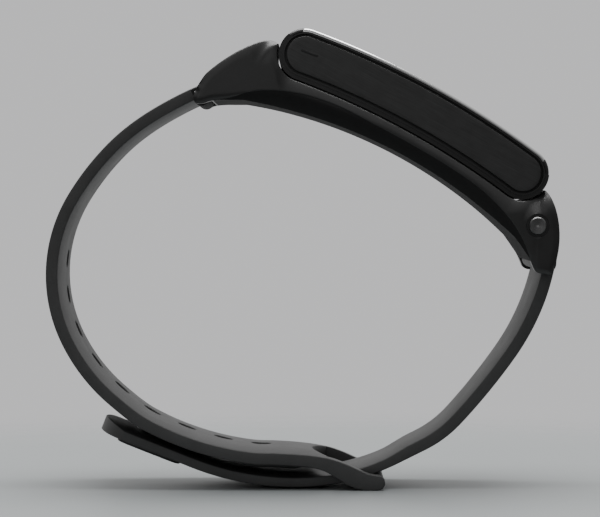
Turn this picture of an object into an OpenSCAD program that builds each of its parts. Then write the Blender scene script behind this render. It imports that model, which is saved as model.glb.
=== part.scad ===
// Fitness tracker band: a bent tracker capsule in a cradle, and two rubber straps
// fastened into a closed ring that the band stands on.
// +X runs along the ring, +Y across the strap away from the side key, +Z up.
// The origin is on the floor under the middle of the closed band. Millimetres.

/* [Overall] */
// Length of the closed band, end to end; the side outline grows with it
band_length = 71.8; // [68:0.2:86.4]
// Width of the cradle across the wrist
head_w = 21.4; // [19:0.2:26]
// Slope of the capsule above the horizontal, degrees
head_tilt = 28.5; // [27:0.5:30]

/* [Capsule] */
// Thickness of the capsule
capsule_t = 7.3; // [6.4:0.1:8.8]
// Height of the side plates
plate_h = 5.1; // [4.2:0.1:5.3]
// Thickness of the side plates
plate_t = 0.65; // [0.5:0.05:0.8]
// Step from the cradle side in to the capsule side
side_step = 0.7; // [0.4:0.1:1.2]
// Thickness of the bezel, lens and rim skin
skin_t = 0.6; // [0.5:0.05:0.75]

/* [Cradle] */
// Thickness of a lug cheek
cheek_w = 2.05; // [1.8:0.05:2.4]
// Height of the hard tray above the soft pad
tray_h = 1.3; // [1.1:0.1:1.6]
// Depth of the capsule foot in the tray
foot_h = 1.3; // [1.0:0.1:1.35]
// Diameter of the lug pins
pin_d = 1.2; // [1:0.05:1.5]
// Radius of the strap knuckles on the pins
knuckle_r = 1.85; // [1.5:0.05:1.9]

/* [Straps] */
// Edge thickness of the hole strap and the upper peg strap
strap_t = 1.6; // [1.3:0.05:1.95]
// Edge thickness of the tail and the part in the loop
tail_t = 1.3; // [1.1:0.05:1.4]
// How far the skin side bulges at mid width
crown_in = 0.55; // [0.3:0.05:0.6]
// How far the outer side bulges at mid width
crown_out = 0.2; // [0.1:0.05:0.25]
// Number of holes in the hole strap
hole_count = 9; // [6:1:10]
// Distance between holes along the outer face
hole_pitch = 5.74; // [5.4:0.02:6.2]
// Length of a hole
hole_l = 2.9; // [2.7:0.1:3.4]
// Width of a rail beside the loop slot
rail_w = 1.6; // [1.4:0.1:2]
// Radius of the loop end bar between the rails
bar_r = 0.9; // [0.8:0.05:0.95]

/* [Clasp] */
// Diameter of the clasp pegs
peg_d = 1.9; // [1.6:0.1:2]
// How far the pegs reach into the hole strap
peg_reach = 1.4; // [1.1:0.1:1.5]
// Length of the clasp plate
clasp_l = 9.6; // [9:0.2:11]
// Thickness of the clasp plate
clasp_t = 0.6; // [0.4:0.1:0.7]

/* [Keys] */
// Diameter of the release buttons
button_d = 2.4; // [2:0.1:2.8]
// Travel of the release buttons
button_travel = 0.8; // [0.6:0.1:0.8]
// Travel of the side key
key_travel = 0.3; // [0.2:0.05:0.35]

/* [Clearances] */
// Capsule to cradle
seat_gap = 0.2; // [0.15:0.05:0.3]
// Strap sides to lug cheeks, and tail sides to loop rails
side_gap = 0.15; // [0.1:0.05:0.25]
// Running fits: pins, buttons and key plunger, radial
run_gap = 0.05; // [0.02:0.01:0.1]
// Round end of the tail in its hollow
hinge_gap = 0.2; // [0.15:0.05:0.25]

/* [Hidden] */
$fn = 120;
// how far one piece of a joined outline is sunk in the next
sink = 0.01;
k = band_length / 71.8;
strap_w = head_w - 2 * (cheek_w + side_gap);
capsule_w = head_w - 2 * side_step;
slot_w = strap_w - 2 * rail_w;
tail_w = slot_w - 4 * side_gap;
hole_w = peg_d + 0.4;

// capsule: a bar with round ends, bent round bend_r
bend_r = 120 * k;
capsule_l = 41.8 * k;
end_x = capsule_l / 2 - capsule_t / 2;
end_a = asin(end_x / bend_r);
end_z = bend_r * cos(end_a) - bend_r;
frame_t = capsule_t - 2 * skin_t;
pocket_h = plate_h + 0.6;
pocket_d = plate_t + key_travel + 0.1;
bay_x = 15.8 * k;
bay_y = capsule_w / 2 - 1.8;
lens_x = end_x - 0.1;
plunger_r = 0.5;
plunger_z = 0.45;
foot_x = 15 * k;
foot_y = capsule_w / 2 - 2;
foot_z = -capsule_t / 2 - foot_h;
under_z = -capsule_t / 2 - seat_gap;
floor_r = bend_r + under_z - tray_h;

// head frame: middle of the capsule, turned down toward +X
// brings the middle of the ring over the origin
mid_x = 0.166 * k;
head_x = 16.1 * k + mid_x;
head_z = 53.8 * k;
pin_left = [-27.1 * k, -13.3 * k];
pin_right = [25.4 * k, -10.9 * k];
lug_left_r = 1.8;
lug_right_r = 2.1;

// release button axis, hook and the catch it holds, in the head frame
key_x = 22.5 * k;
key_z = -6.7 * k;
hook_w = 1;
hook_y = 6.2;
catch_z = key_z - 0.5;

// outer edge line of each strap as bends [radius, degrees] and straights [0, length]
hole_start = [-14.86 * k + mid_x, 56.86 * k, 202.7];
hole_path = [[38.1 * k, 36.1], [21.8 * k, 57], [26.4 * k, 35.1], [42 * k, 23.9],
             [0, 10 * k]];
low_point = [-1 * k + mid_x, 0.2 * k + 0.05, 0];
thin_path = [[32.8 * k, 26.5]];
thick_path = [[0, 4 * k], [17.6 * k, 20.9], [90 * k, 7.5], [34.4 * k, 24.05]];
// left of the low point the strap runs the other way, so these are drawn mirrored
tail_r = 40 * k;
tail_a = 21.5;
hinge_a = 5;
tail_l = 13.4 * k;
last_hole = 79.4 * k;
first_peg = 2;
nose_r = (tail_t + crown_in + crown_out) / 2;
nose_z = (tail_t + crown_in - crown_out) / 2;
bar_c = [10.55 * k + mid_x, 1.05 * k];

function run_length(seg) = seg[0] == 0 ? seg[1] : seg[0] * seg[1] * PI / 180;
// place and heading after a run s along one bend or straight
function step(at, seg, s) =
    seg[0] == 0 ? [at[0] + s * cos(at[2]), at[1] + s * sin(at[2]), at[2]]
    : let (h = at[2] + s / seg[0] * 180 / PI)
      [at[0] + seg[0] * (sin(h) - sin(at[2])), at[1] + seg[0] * (cos(at[2]) - cos(h)), h];
function seg_start(at, path, i) =
    i == 0 ? at : let (p = seg_start(at, path, i - 1)) step(p, path[i - 1], run_length(path[i - 1]));
function path_end(at, path) = seg_start(at, path, len(path));
function along(at, path, s, i = 0) =
    i == len(path) - 1 || s <= run_length(path[i]) ? step(at, path[i], s)
    : along(step(at, path[i], run_length(path[i])), path, s - run_length(path[i]), i + 1);

function hole_at(i) = along(hole_start, hole_path, last_hole - i * hole_pitch);
// straight part of the tail: foot, direction and inward direction
tail_foot = [low_point[0] - tail_r * sin(tail_a), low_point[1] + tail_r * (1 - cos(tail_a))];
tail_u = [-cos(tail_a), sin(tail_a)];
tail_n = [sin(tail_a), cos(tail_a)];
function mid_of(h) = [h[0] - sin(h[2]) * strap_t / 2, h[1] + cos(h[2]) * strap_t / 2];
// where a peg stands on the tail so that it meets the middle of its hole
function peg_s(i) = (mid_of(hole_at(i)) - tail_foot) * tail_u;
function peg_h(i) = ([hole_at(i)[0], hole_at(i)[1]] - tail_foot) * tail_n;

// ---- helpers ----

module head() {
    translate([head_x, 0, head_z]) rotate([0, head_tilt, 0]) children();
}

module at_place(p) {
    translate([p[0], 0, p[1]]) rotate([0, -p[2], 0]) children();
}

// round bar across the band, from -w/2 to w/2
module across(r, w) {
    rotate([90, 0, 0]) cylinder(r = r, h = w, center = true);
}

// bent bar with round ends, h thick and w wide
module bent_bar(h, w) {
    translate([0, 0, -bend_r]) rotate([90, 0, 0]) rotate([0, 0, 90 - end_a])
        rotate_extrude(angle = 2 * end_a)
            translate([bend_r - h / 2, -w / 2]) square([h, w]);
    for (s = [-1, 1]) translate([s * end_x, 0, end_z]) across(h / 2 + sink, w - 2 * sink);
}

// bent layer between two heights above the capsule middle line
module bent_layer(low, high, half_x, w) {
    a = asin(half_x / bend_r);
    translate([0, 0, -bend_r]) rotate([90, 0, 0]) rotate([0, 0, 90 - a])
        rotate_extrude(angle = 2 * a)
            translate([bend_r + low, -w / 2]) square([high - low, w]);
}

module box(x0, x1, y0, y1, z0, z1) {
    translate([x0, y0, z0]) cube([x1 - x0, y1 - y0, z1 - z0]);
}

// strap section: flat edges, bulged outer side below, bulged skin side above
function section(w, t) = [[-w / 2, 0], [-w * 0.3, -crown_out * 0.8], [0, -crown_out],
                          [w * 0.3, -crown_out * 0.8], [w / 2, 0], [w / 2, t],
                          [w * 0.38, t + crown_in * 0.62], [w * 0.16, t + crown_in],
                          [-w * 0.16, t + crown_in], [-w * 0.38, t + crown_in * 0.62],
                          [-w / 2, t]];

module run(at, path, w, t) {
    for (i = [0 : len(path) - 1])
        at_place(seg_start(at, path, i)) {
            if (path[i][0] == 0) straight(path[i][1], w, t);
            else bend(path[i][0], path[i][1], w, t);
            if (i > 0) joint(w, t);
        }
}

module straight(l, w, t) {
    rotate([90, 0, 90]) linear_extrude(l) polygon(section(w, t));
}

// short collar over the meeting of two pieces of strap
module joint(w, t) {
    translate([-0.2, 0, -sink]) straight(0.4, w + 2 * sink, t + 2 * sink);
}

module bend(r, a, w, t) {
    translate([0, 0, r]) rotate([90, 0, 0]) rotate([0, 0, -90])
        rotate_extrude(angle = a)
            polygon([for (p = section(w, t)) [r - p[1], p[0]]]);
}

// frame on the outer edge line of the straight part of the tail
module on_tail() {
    translate([tail_foot[0], 0, tail_foot[1]]) mirror([1, 0, 0])
        rotate([0, -tail_a, 0]) children();
}

// ---- cradle ----

module cradle_block(w) {
    difference() {
        union() {
            translate([-6 * k, 0, -18 * k]) across(23.4 * k, w);
            translate([13.9 * k, 0, -12.9 * k]) across(13.6 * k, w);
        }
        translate([1.56 * k, 0, -77.41 * k]) across(70.12 * k, w + 2);
        box(-40 * k, pin_left[0], -w, w, -40 * k, pin_left[1]);
        box(pin_right[0], 40 * k, -w, w, -40 * k, pin_right[1]);
        box(-40 * k, 40 * k, -w, w, -1.6 * k, 30 * k);
    }
    translate([pin_left[0], 0, pin_left[1]]) across(lug_left_r, w);
    translate([pin_right[0], 0, pin_right[1]]) across(lug_right_r, w);
}

// room for the capsule and for lifting it straight out
module capsule_room() {
    bent_bar(capsule_t + 2 * seat_gap, head_w + 2);
    box(-capsule_l / 2 - seat_gap - 2 * sink, capsule_l / 2 + seat_gap + 2 * sink,
        -head_w, head_w, end_z, 20 * k);
}

// room for the strap ends between the cheeks
module knuckle_rooms() {
    w = strap_w + 2 * side_gap;
    translate([pin_left[0], 0, pin_left[1]]) across(knuckle_r + 0.35, w);
    box(-34 * k, pin_left[0] + 0.8, -w / 2, w / 2, -24 * k, pin_left[1] + knuckle_r + 0.25);
    translate([pin_right[0], 0, pin_right[1]]) across(knuckle_r + 0.35, w);
    box(pin_right[0] - 0.8, 34 * k, -w / 2, w / 2, -24 * k, pin_right[1] + knuckle_r - 0.1);
}

// near side latch: button bore, stem bore, hook room and catch room
module latch_room() {
    translate([key_x, 0, key_z]) rotate([90, 0, 0]) {
        translate([0, 0, head_w / 2 - 2.7]) cylinder(r = button_d / 2 + 0.35, h = 4);
        translate([0, 0, hook_y - 1]) cylinder(r = 0.6 + run_gap, h = head_w / 2 - hook_y);
    }
    box(foot_x + 0.7, key_x + 0.9, -hook_y - hook_w - 0.05, -hook_y + button_travel + 0.15,
        key_z - 0.9, key_z + 0.9);
    box(foot_x - 1.6, foot_x + 2.7, -hook_y - hook_w - 0.3, -hook_y + 0.3,
        catch_z - 0.6, -capsule_t / 2);
}

module cradle_cuts() {
    capsule_room();
    knuckle_rooms();
    box(-foot_x - seat_gap, foot_x + seat_gap, -foot_y - seat_gap, foot_y + seat_gap,
        foot_z - 0.1, 0);
    latch_room();
    mirror([0, 1, 0]) latch_room();
    for (p = [pin_left, pin_right])
        translate([p[0], 0, p[1]]) across(pin_d / 2 + 0.01, head_w - 1.4);
}

module pad_zone(w) {
    intersection() {
        translate([0, 0, -bend_r]) across(floor_r, w);
        box(-22.6 * k, 18.9 * k, -w, w, -30 * k, 0);
    }
}

module cradle_tray() {
    color([0.10, 0.10, 0.11]) head() difference() {
        cradle_block(head_w);
        cradle_cuts();
        pad_zone(head_w + 2);
    }
}

module cradle_pad() {
    color([0.07, 0.07, 0.08]) head() difference() {
        intersection() {
            cradle_block(head_w);
            pad_zone(head_w - 0.3);
        }
        cradle_cuts();
    }
}

module lug_pin(p) {
    head() translate([p[0], 0, p[1]]) across(pin_d / 2, head_w - 1.6);
}
module lug_pin_left() { color([0.6, 0.6, 0.62]) lug_pin(pin_left); }
module lug_pin_right() { color([0.6, 0.6, 0.62]) lug_pin(pin_right); }

// ---- release buttons, drawn on the near side and mirrored for the far side ----

// places a turned piece on the button axis, its +Z pointing out of the near side
module on_key() {
    head() translate([key_x, 0, key_z]) rotate([90, 0, 0]) children();
}

module button_bushing() {
    on_key() difference() {
        translate([0, 0, head_w / 2 - 2.7]) cylinder(r = button_d / 2 + 0.35, h = 2.75);
        translate([0, 0, head_w / 2 - 3]) cylinder(r = button_d / 2 + run_gap, h = 4);
    }
}
module button_bushing_near() { color([0.05, 0.05, 0.05]) button_bushing(); }
module button_bushing_far() { color([0.05, 0.05, 0.05]) mirror([0, 1, 0]) button_bushing(); }

module release_button() {
    on_key() rotate_extrude()
        polygon([[0, hook_y + 0.2], [0.6, hook_y + 0.2], [0.6, head_w / 2 - 1.1],
                 [button_d / 2, head_w / 2 - 1.1], [button_d / 2, head_w / 2 + 0.15],
                 [button_d / 2 - 0.15, head_w / 2 + 0.3], [0, head_w / 2 + 0.22]]);
}
module release_button_near() { color([0.55, 0.55, 0.57]) release_button(); }
module release_button_far() { color([0.55, 0.55, 0.57]) mirror([0, 1, 0]) release_button(); }

// hook bar pressed on the button stem; its far end lies over the catch
module latch_hook() {
    head() difference() {
        box(foot_x + 0.9, key_x + 0.75, -hook_y - hook_w, -hook_y, catch_z + 0.1, key_z + 0.75);
        box(foot_x + 0.8, key_x - 0.8, -hook_y - 2, -hook_y + 1, catch_z + 0.75, key_z + 1);
        translate([key_x, 0, key_z]) rotate([90, 0, 0])
            translate([0, 0, hook_y + 0.2]) cylinder(r = 0.6, h = 3);
    }
}
module latch_hook_near() { color([0.5, 0.5, 0.52]) latch_hook(); }
module latch_hook_far() { color([0.5, 0.5, 0.52]) mirror([0, 1, 0]) latch_hook(); }

// stack of dished spring washers, drawn as one folded ring
module button_spring() {
    z0 = head_w / 2 - 2.7;
    z1 = head_w / 2 - 1.1;
    p = (z1 - z0) / 4;
    on_key() rotate_extrude()
        polygon([[0.7, z0], [1.1, z0 + p * 0.8], [0.75, z0 + 2 * p], [1.1, z0 + 2.8 * p],
                 [0.7, z1 - 0.02], [0.85, z1 - 0.02], [1.2, z0 + 2.9 * p], [0.87, z0 + 2 * p],
                 [1.2, z0 + p * 0.9], [0.85, z0]]);
}
module button_spring_near() { color([0.7, 0.7, 0.7]) button_spring(); }
module button_spring_far() { color([0.7, 0.7, 0.7]) mirror([0, 1, 0]) button_spring(); }

// ---- capsule ----

module capsule_frame() {
    color([0.09, 0.09, 0.10]) head() difference() {
        bent_bar(frame_t, capsule_w);
        box(-bay_x, bay_x, -bay_y, bay_y, -20, 20);
        for (s = [-1, 1])
            translate([0, s * (capsule_w / 2 - pocket_d / 2 + 0.5), 0])
                bent_bar(pocket_h, pocket_d + 1);
        translate([0, -capsule_w / 2 + 1, plunger_z]) across(plunger_r + run_gap, 4);
        for (s = [-1, 1])
            translate([s * end_x, 0, -capsule_t]) cylinder(r = 0.5, h = capsule_t - 1.2);
    }
}

module skin(w) {
    difference() {
        bent_bar(capsule_t, w);
        bent_bar(frame_t, w + 2);
    }
}

module capsule_base() {
    color([0.08, 0.08, 0.09]) head() difference() {
        union() {
            intersection() {
                skin(capsule_w - 0.4);
                box(-capsule_l, capsule_l, -20, 20, -capsule_t, 0.4 * capsule_t / 2 + end_z);
            }
            difference() {
                box(-foot_x, foot_x, -foot_y, foot_y, foot_z, -2.6);
                bent_bar(frame_t, head_w);
            }
            for (s = [-1, 1]) {
                box(foot_x - 1.2, foot_x, s * (hook_y + hook_w / 2) - hook_w / 2,
                    s * (hook_y + hook_w / 2) + hook_w / 2, catch_z - 0.5, foot_z + 0.5);
                box(foot_x - 1.2, foot_x + 2.2, s * (hook_y + hook_w / 2) - hook_w / 2,
                    s * (hook_y + hook_w / 2) + hook_w / 2, catch_z - 0.5, catch_z);
            }
        }
        box(-foot_x + 1.3, foot_x - 1.3, -foot_y + 0.9, foot_y - 0.9, foot_z + 0.8, 0);
        for (x = [-6 : 4 : 6])
            translate([x, 0, foot_z - 1]) cylinder(r = 0.6, h = 3);
        for (s = [-1, 1]) {
            translate([s * end_x, 0, end_z - capsule_t / 2 - 1]) cylinder(r = 0.5, h = 4);
            translate([s * end_x, 0, end_z - capsule_t / 2 - 1]) cylinder(r = 1.1, h = 1.35);
        }
    }
}

module bezel() {
    color([0.8, 0.8, 0.82]) head() difference() {
        intersection() {
            skin(capsule_w - 0.6);
            box(-capsule_l, capsule_l, -20, 20, 0.4 * capsule_t / 2 + end_z, capsule_t);
        }
        box(-lens_x - 0.05, lens_x + 0.05, -bay_y - 0.5, bay_y + 0.5, -1, 20);
    }
}

module display_lens() {
    color([0.03, 0.03, 0.035]) head()
        intersection() {
            bent_layer(frame_t / 2, capsule_t / 2 + 0.05, lens_x + 0.3, 2 * bay_y + 0.9);
            box(-lens_x, lens_x, -20, 20, -5, 20);
        }
}

module display_module() {
    color([0.15, 0.16, 0.18]) head()
        bent_layer(frame_t / 2 - 1, frame_t / 2, bay_x - 0.7 * k, 2 * bay_y - 0.4);
}

module main_board() {
    color([0.05, 0.25, 0.12]) head()
        box(-13.5 * k, 13.5 * k, -bay_y, bay_y, -0.9, -0.1);
}

module processor_shield() {
    color([0.7, 0.7, 0.72]) head() box(-4, 6, -4.5, 4.5, -0.1, 0.9);
}

module battery() {
    color([0.75, 0.75, 0.77]) head() box(-7 * k, 13 * k, -bay_y + 1.6, bay_y - 1.6, foot_z + 0.88, -1);
}

module vibration_motor() {
    color([0.6, 0.6, 0.62]) head()
        translate([-10.6 * k, 0, foot_z + 0.8]) cylinder(r = 2.8, h = 2.2);
}

module tact_switch() {
    color([0.2, 0.2, 0.2]) head() union() {
        box(-1.8, 1.8, -bay_y + key_travel + 0.4, -bay_y + key_travel + 1.8, -0.1, 1);
        translate([0, -bay_y + key_travel + 0.25, plunger_z]) across(plunger_r, 0.4);
    }
}

module microphone() {
    color([0.7, 0.6, 0.3]) head() box(9, 11.6, 1, 3, -0.1, 0.7);
}

module contact_strip() {
    color([0.85, 0.7, 0.35]) head() union() {
        box(-7.5, 7.5, -1, 1, foot_z + 0.8, foot_z + 0.88);
        for (x = [-6 : 4 : 6])
            translate([x, 0, foot_z + 0.05]) cylinder(r = 0.6, h = 0.8);
    }
}

module base_screw(s) {
    head() translate([s * end_x, 0, end_z - capsule_t / 2]) difference() {
        union() {
            translate([0, 0, 0.06]) cylinder(r = 1.05, h = 0.29);
            translate([0, 0, 0.2]) cylinder(r = 0.5, h = 2.1);
        }
        box(-0.7, 0.7, -0.12, 0.12, -0.1, 0.2);
    }
}
module base_screw_left() { color([0.6, 0.6, 0.62]) base_screw(-1); }
module base_screw_right() { color([0.6, 0.6, 0.62]) base_screw(1); }

module side_trim_far() {
    color([0.16, 0.16, 0.17]) head()
        translate([0, capsule_w / 2 - pocket_d / 2, 0]) bent_bar(plate_h, pocket_d);
}

module side_key() {
    color([0.16, 0.16, 0.17]) head() difference() {
        union() {
            translate([0, -capsule_w / 2 + plate_t / 2, 0]) bent_bar(plate_h, plate_t);
            translate([0, (-capsule_w / 2 + plate_t / 2 - bay_y + 0.02) / 2, plunger_z])
                across(plunger_r, capsule_w / 2 - plate_t / 2 - bay_y - 0.02);
        }
        translate([-16.6 * k, -capsule_w / 2, -0.8 * k - 0.1]) rotate([0, -8, 0])
            cube([2.4, 0.4, 0.25], center = true);
    }
}

// ---- straps ----

module hole_cut(p) {
    at_place(p) translate([0, 0, -2]) {
        for (s = [-1, 1]) translate([s * (hole_l - hole_w) / 2, 0, 0]) cylinder(r = hole_w / 2, h = 6);
        translate([-(hole_l - hole_w) / 2, -hole_w / 2, 0]) cube([hole_l - hole_w, hole_w, 6]);
    }
}

// side outline of a loop rail; the top follows the strap thickness
rail = [[2.5 * k, 3.35 * k], [4.7 * k, 1.9 * k], [6.8 * k, 0.52 * k], [8.9 * k, 0.03 * k],
        [bar_c[0], 0], [bar_c[0], bar_c[1] * 1.6], [9.8 * k, 2.15 * k + strap_t - 1.6],
        [6.2 * k, 3.85 * k + strap_t - 1.6], [4 * k, 4.5 * k + strap_t - 1.6],
        [2.5 * k, 4.3 * k + strap_t - 1.6]];

module hole_strap() {
    color([0.12, 0.12, 0.13]) difference() {
        union() {
            run(hole_start, hole_path, strap_w, strap_t);
            head() translate([pin_left[0], 0, pin_left[1]]) across(knuckle_r, strap_w);
            for (s = [-1, 1])
                translate([0, s * (strap_w - rail_w) / 2, 0]) rotate([90, 0, 0])
                    linear_extrude(rail_w - 2 * sink, center = true) polygon(rail);
            for (s = [-1, 1])
                translate([bar_c[0], s * (strap_w - rail_w) / 2, bar_c[1]])
                    across(bar_c[1], rail_w);
            translate([bar_c[0], 0, bar_c[1] - 0.1]) across(bar_r, strap_w - rail_w);
        }
        intersection() {
            translate([13 * k, 0, -5]) cylinder(r = 11.5 * k, h = 20);
            box(0, bar_c[0] - bar_r - 0.3, -slot_w / 2, slot_w / 2, -5, 15);
        }
        for (i = [0 : hole_count - 1]) hole_cut(hole_at(i));
        head() translate([pin_left[0], 0, pin_left[1]]) across(pin_d / 2 + run_gap, head_w);
    }
}

// wedges beside the peg strap that close in toward the loop
module strap_taper() {
    z0 = 5 * k;
    z1 = 27 * k;
    slope = (strap_w - tail_w) / 2 / (z1 - z0);
    for (s = [0, 1]) mirror([0, s, 0])
        rotate([90, 0, 90]) linear_extrude(50 * k)
            polygon([[tail_w / 2, -5], [tail_w / 2, z0], [strap_w / 2 + 4 * slope, z1 + 4],
                     [strap_w, z1 + 4], [strap_w, -5]]);
}

// round bar on the line the tail turns about
module tail_hinge(r, w) {
    translate([low_point[0] - tail_r * sin(hinge_a), 0, low_point[1] + tail_r * (1 - cos(hinge_a))])
        mirror([1, 0, 0]) rotate([0, -hinge_a, 0]) translate([0, 0, nose_z]) across(r, w);
}

module peg_strap() {
    color([0.12, 0.12, 0.13]) difference() {
        union() {
            translate([low_point[0], 0, low_point[1]]) {
                mirror([1, 0, 0]) bend(tail_r, hinge_a, tail_w, tail_t);
                joint(tail_w, tail_t);
            }
            run(low_point, thin_path, tail_w, tail_t);
            at_place(path_end(low_point, thin_path)) joint(tail_w, tail_t);
            difference() {
                run(path_end(low_point, thin_path), thick_path, strap_w, strap_t);
                strap_taper();
            }
            head() translate([pin_right[0], 0, pin_right[1]]) across(knuckle_r, strap_w);
        }
        tail_hinge(nose_r + hinge_gap, strap_w + 2);
        head() translate([pin_right[0], 0, pin_right[1]]) across(pin_d / 2 + run_gap, head_w);
    }
}

// what is cut away beyond the rounded free end
module tip_cut() {
    r = 8;
    difference() {
        box(tail_l - r, tail_l + 2, -r, r, -3, 5);
        translate([tail_l - r, 0, -4]) cylinder(r = r, h = 10);
    }
}

module strap_tail() {
    color([0.12, 0.12, 0.13]) difference() {
        union() {
            translate([low_point[0], 0, low_point[1]]) mirror([1, 0, 0])
                run(step([0, 0, 0], [tail_r, 1], tail_r * hinge_a * PI / 180),
                    [[tail_r, tail_a - hinge_a], [0, tail_l]], tail_w, tail_t);
            tail_hinge(nose_r, tail_w);
        }
        on_tail() tip_cut();
        for (i = [first_peg, first_peg + 1])
            on_tail() translate([peg_s(i), 0, -2]) cylinder(r = peg_d / 2 + 0.01, h = 6);
    }
}

module clasp_plate() {
    c = (peg_s(first_peg) + peg_s(first_peg + 1)) / 2 + 0.9;
    color([0.14, 0.14, 0.15]) on_tail() difference() {
        box(c - clasp_l / 2, c + clasp_l / 2, -3.2, 3.2, -crown_out - clasp_t, -crown_out);
        for (i = [first_peg, first_peg + 1])
            translate([peg_s(i), 0, -3]) cylinder(r = peg_d / 2 - 0.25, h = 5);
    }
}

// peg with a slimmer end riveted in the clasp plate
module clasp_peg(i) {
    on_tail() translate([peg_s(i), 0, 0]) rotate_extrude()
        polygon([[0, -crown_out - clasp_t], [peg_d / 2 - 0.25, -crown_out - clasp_t],
                 [peg_d / 2 - 0.25, -crown_out], [peg_d / 2, -crown_out],
                 [peg_d / 2, peg_h(i) + peg_reach - 0.3], [peg_d / 2 - 0.3, peg_h(i) + peg_reach],
                 [0, peg_h(i) + peg_reach]]);
}
module clasp_peg_inner() { color([0.5, 0.5, 0.52]) clasp_peg(first_peg); }
module clasp_peg_outer() { color([0.5, 0.5, 0.52]) clasp_peg(first_peg + 1); }

// ---- parts ----

cradle_tray();
cradle_pad();
lug_pin_left();
lug_pin_right();
button_bushing_near();
button_bushing_far();
hole_strap();
peg_strap();
strap_tail();
clasp_plate();
clasp_peg_inner();
clasp_peg_outer();
capsule_frame();
capsule_base();
bezel();
display_lens();
display_module();
main_board();
processor_shield();
battery();
vibration_motor();
tact_switch();
microphone();
contact_strip();
base_screw_left();
base_screw_right();
side_trim_far();
side_key();
release_button_near();
release_button_far();
latch_hook_near();
latch_hook_far();
button_spring_near();
button_spring_far();
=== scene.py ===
from math import cos, pi, radians, sin, tan

import bmesh
import bpy
import numpy as np
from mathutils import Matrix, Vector


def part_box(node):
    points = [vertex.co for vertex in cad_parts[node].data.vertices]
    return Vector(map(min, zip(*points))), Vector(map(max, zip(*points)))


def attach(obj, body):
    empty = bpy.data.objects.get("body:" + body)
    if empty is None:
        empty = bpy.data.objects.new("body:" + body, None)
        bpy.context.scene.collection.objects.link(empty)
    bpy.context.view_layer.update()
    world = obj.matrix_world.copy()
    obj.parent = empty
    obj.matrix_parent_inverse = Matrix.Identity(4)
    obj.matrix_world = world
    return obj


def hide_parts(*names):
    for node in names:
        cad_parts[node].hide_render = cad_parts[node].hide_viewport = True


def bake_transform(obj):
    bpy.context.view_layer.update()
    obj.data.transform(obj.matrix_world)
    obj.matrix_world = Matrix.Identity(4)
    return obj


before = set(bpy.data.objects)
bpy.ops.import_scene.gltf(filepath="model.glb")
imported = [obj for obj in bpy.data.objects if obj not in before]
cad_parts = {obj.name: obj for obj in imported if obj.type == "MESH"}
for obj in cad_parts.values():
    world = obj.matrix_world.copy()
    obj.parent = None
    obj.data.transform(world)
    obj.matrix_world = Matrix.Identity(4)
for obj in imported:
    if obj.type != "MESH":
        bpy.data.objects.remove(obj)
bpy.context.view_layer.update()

MM = 0.001

# Head: the capsule and cradle are drawn level and then turned down toward +X.
HEAD_TILT = radians(28.5)
HEAD_X, HEAD_Z = 16.266, 53.8
HEAD_W = 21.4

# Capsule: a bar with round ends, bent round a long radius.
BEND_R = 120.0
CAPSULE_T, FRAME_T, PLATE_H = 7.3, 6.1, 5.1
END_X = 17.25
END_A = np.arcsin(END_X / BEND_R)
END_Z = BEND_R * np.cos(END_A) - BEND_R

# Straps: [radius, degrees] bends and [0, length] straights along the outer edge line.
STRAP_W, TAIL_W = 17.0, 13.2
STRAP_T, TAIL_T = 1.6, 1.3
CROWN_IN, CROWN_OUT, BELLY = 0.55, 0.2, 0.75
EDGE_R = 0.15
HOLE_START = (-14.694, 56.86, 202.7)
HOLE_BENDS = [(38.1, 36.1), (21.8, 57.0), (26.4, 35.1), (42.0, 23.9), (0, 10.0)]
LOW_POINT = (-0.834, 0.25, 0.0)
PEG_BENDS = [(32.8, 26.5), (0, 4.0), (17.6, 20.9), (90.0, 7.5), (34.4, 24.05)]
TAIL_BENDS = [(40.0, 21.5), (0, 13.4)]
HOLE_COUNT, HOLE_PITCH, LAST_HOLE = 9, 5.74, 79.4
HOLE_L, HOLE_W = 2.9, 2.3
SLOT_Y, SLOT_R, SLOT_MID = 6.9, 11.5, 13
BAR = (10.716, 1.05)
PIN_LEFT, PIN_RIGHT = (-27.1, -13.3), (25.4, -10.9)
KNUCKLE_R = 1.15


# ---- meshes ----

def make_piece(name, sheets, finish, body=None, crease=34, keeps=None):
    """Welds sheets of points (rows x columns x 3, in millimetres) into one closed mesh.
    A quad with two equal corners becomes a triangle, and one folded flat is dropped."""
    points = np.concatenate([p.reshape(-1, 3) for p in sheets])
    quads, first = [], 0
    for number, p in enumerate(sheets):
        rows, cols = p.shape[:2]
        index = first + np.arange(rows * cols).reshape(rows, cols)
        q = np.stack([index[:-1, :-1], index[:-1, 1:], index[1:, 1:], index[1:, :-1]], -1)
        if keeps and number in keeps:
            q = q[keeps[number]]
        quads.append(q.reshape(-1, 4))
        first += rows * cols
    _, kept, index = np.unique(np.round(points * 5000).astype(np.int64), axis=0,
                               return_index=True, return_inverse=True)
    quads = index.reshape(-1)[np.concatenate(quads)]
    same = quads == np.roll(quads, -1, axis=1)
    crossed = (quads[:, 0] == quads[:, 2]) | (quads[:, 1] == quads[:, 3])
    fours = quads[~same.any(1) & ~crossed]
    single = (same.sum(1) == 1) & ~crossed
    threes = quads[single][~same[single]].reshape(-1, 3)
    mesh = bpy.data.meshes.new(name)
    mesh.from_pydata((points[kept] * MM).tolist(), [], fours.tolist() + threes.tolist())
    tidy = bmesh.new()
    tidy.from_mesh(mesh)
    loose = [v for v in tidy.verts if not v.link_faces]
    bmesh.ops.delete(tidy, geom=loose, context="VERTS")
    bmesh.ops.recalc_face_normals(tidy, faces=tidy.faces)
    tidy.to_mesh(mesh)
    tidy.free()
    mesh.materials.append(finish)
    mesh.polygons.foreach_set("use_smooth", np.ones(len(mesh.polygons), bool))
    mesh.set_sharp_from_angle(angle=radians(crease))
    piece = bpy.data.objects.new(name, mesh)
    bpy.context.scene.collection.objects.link(piece)
    if body:
        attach(piece, body)
    return piece


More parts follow.
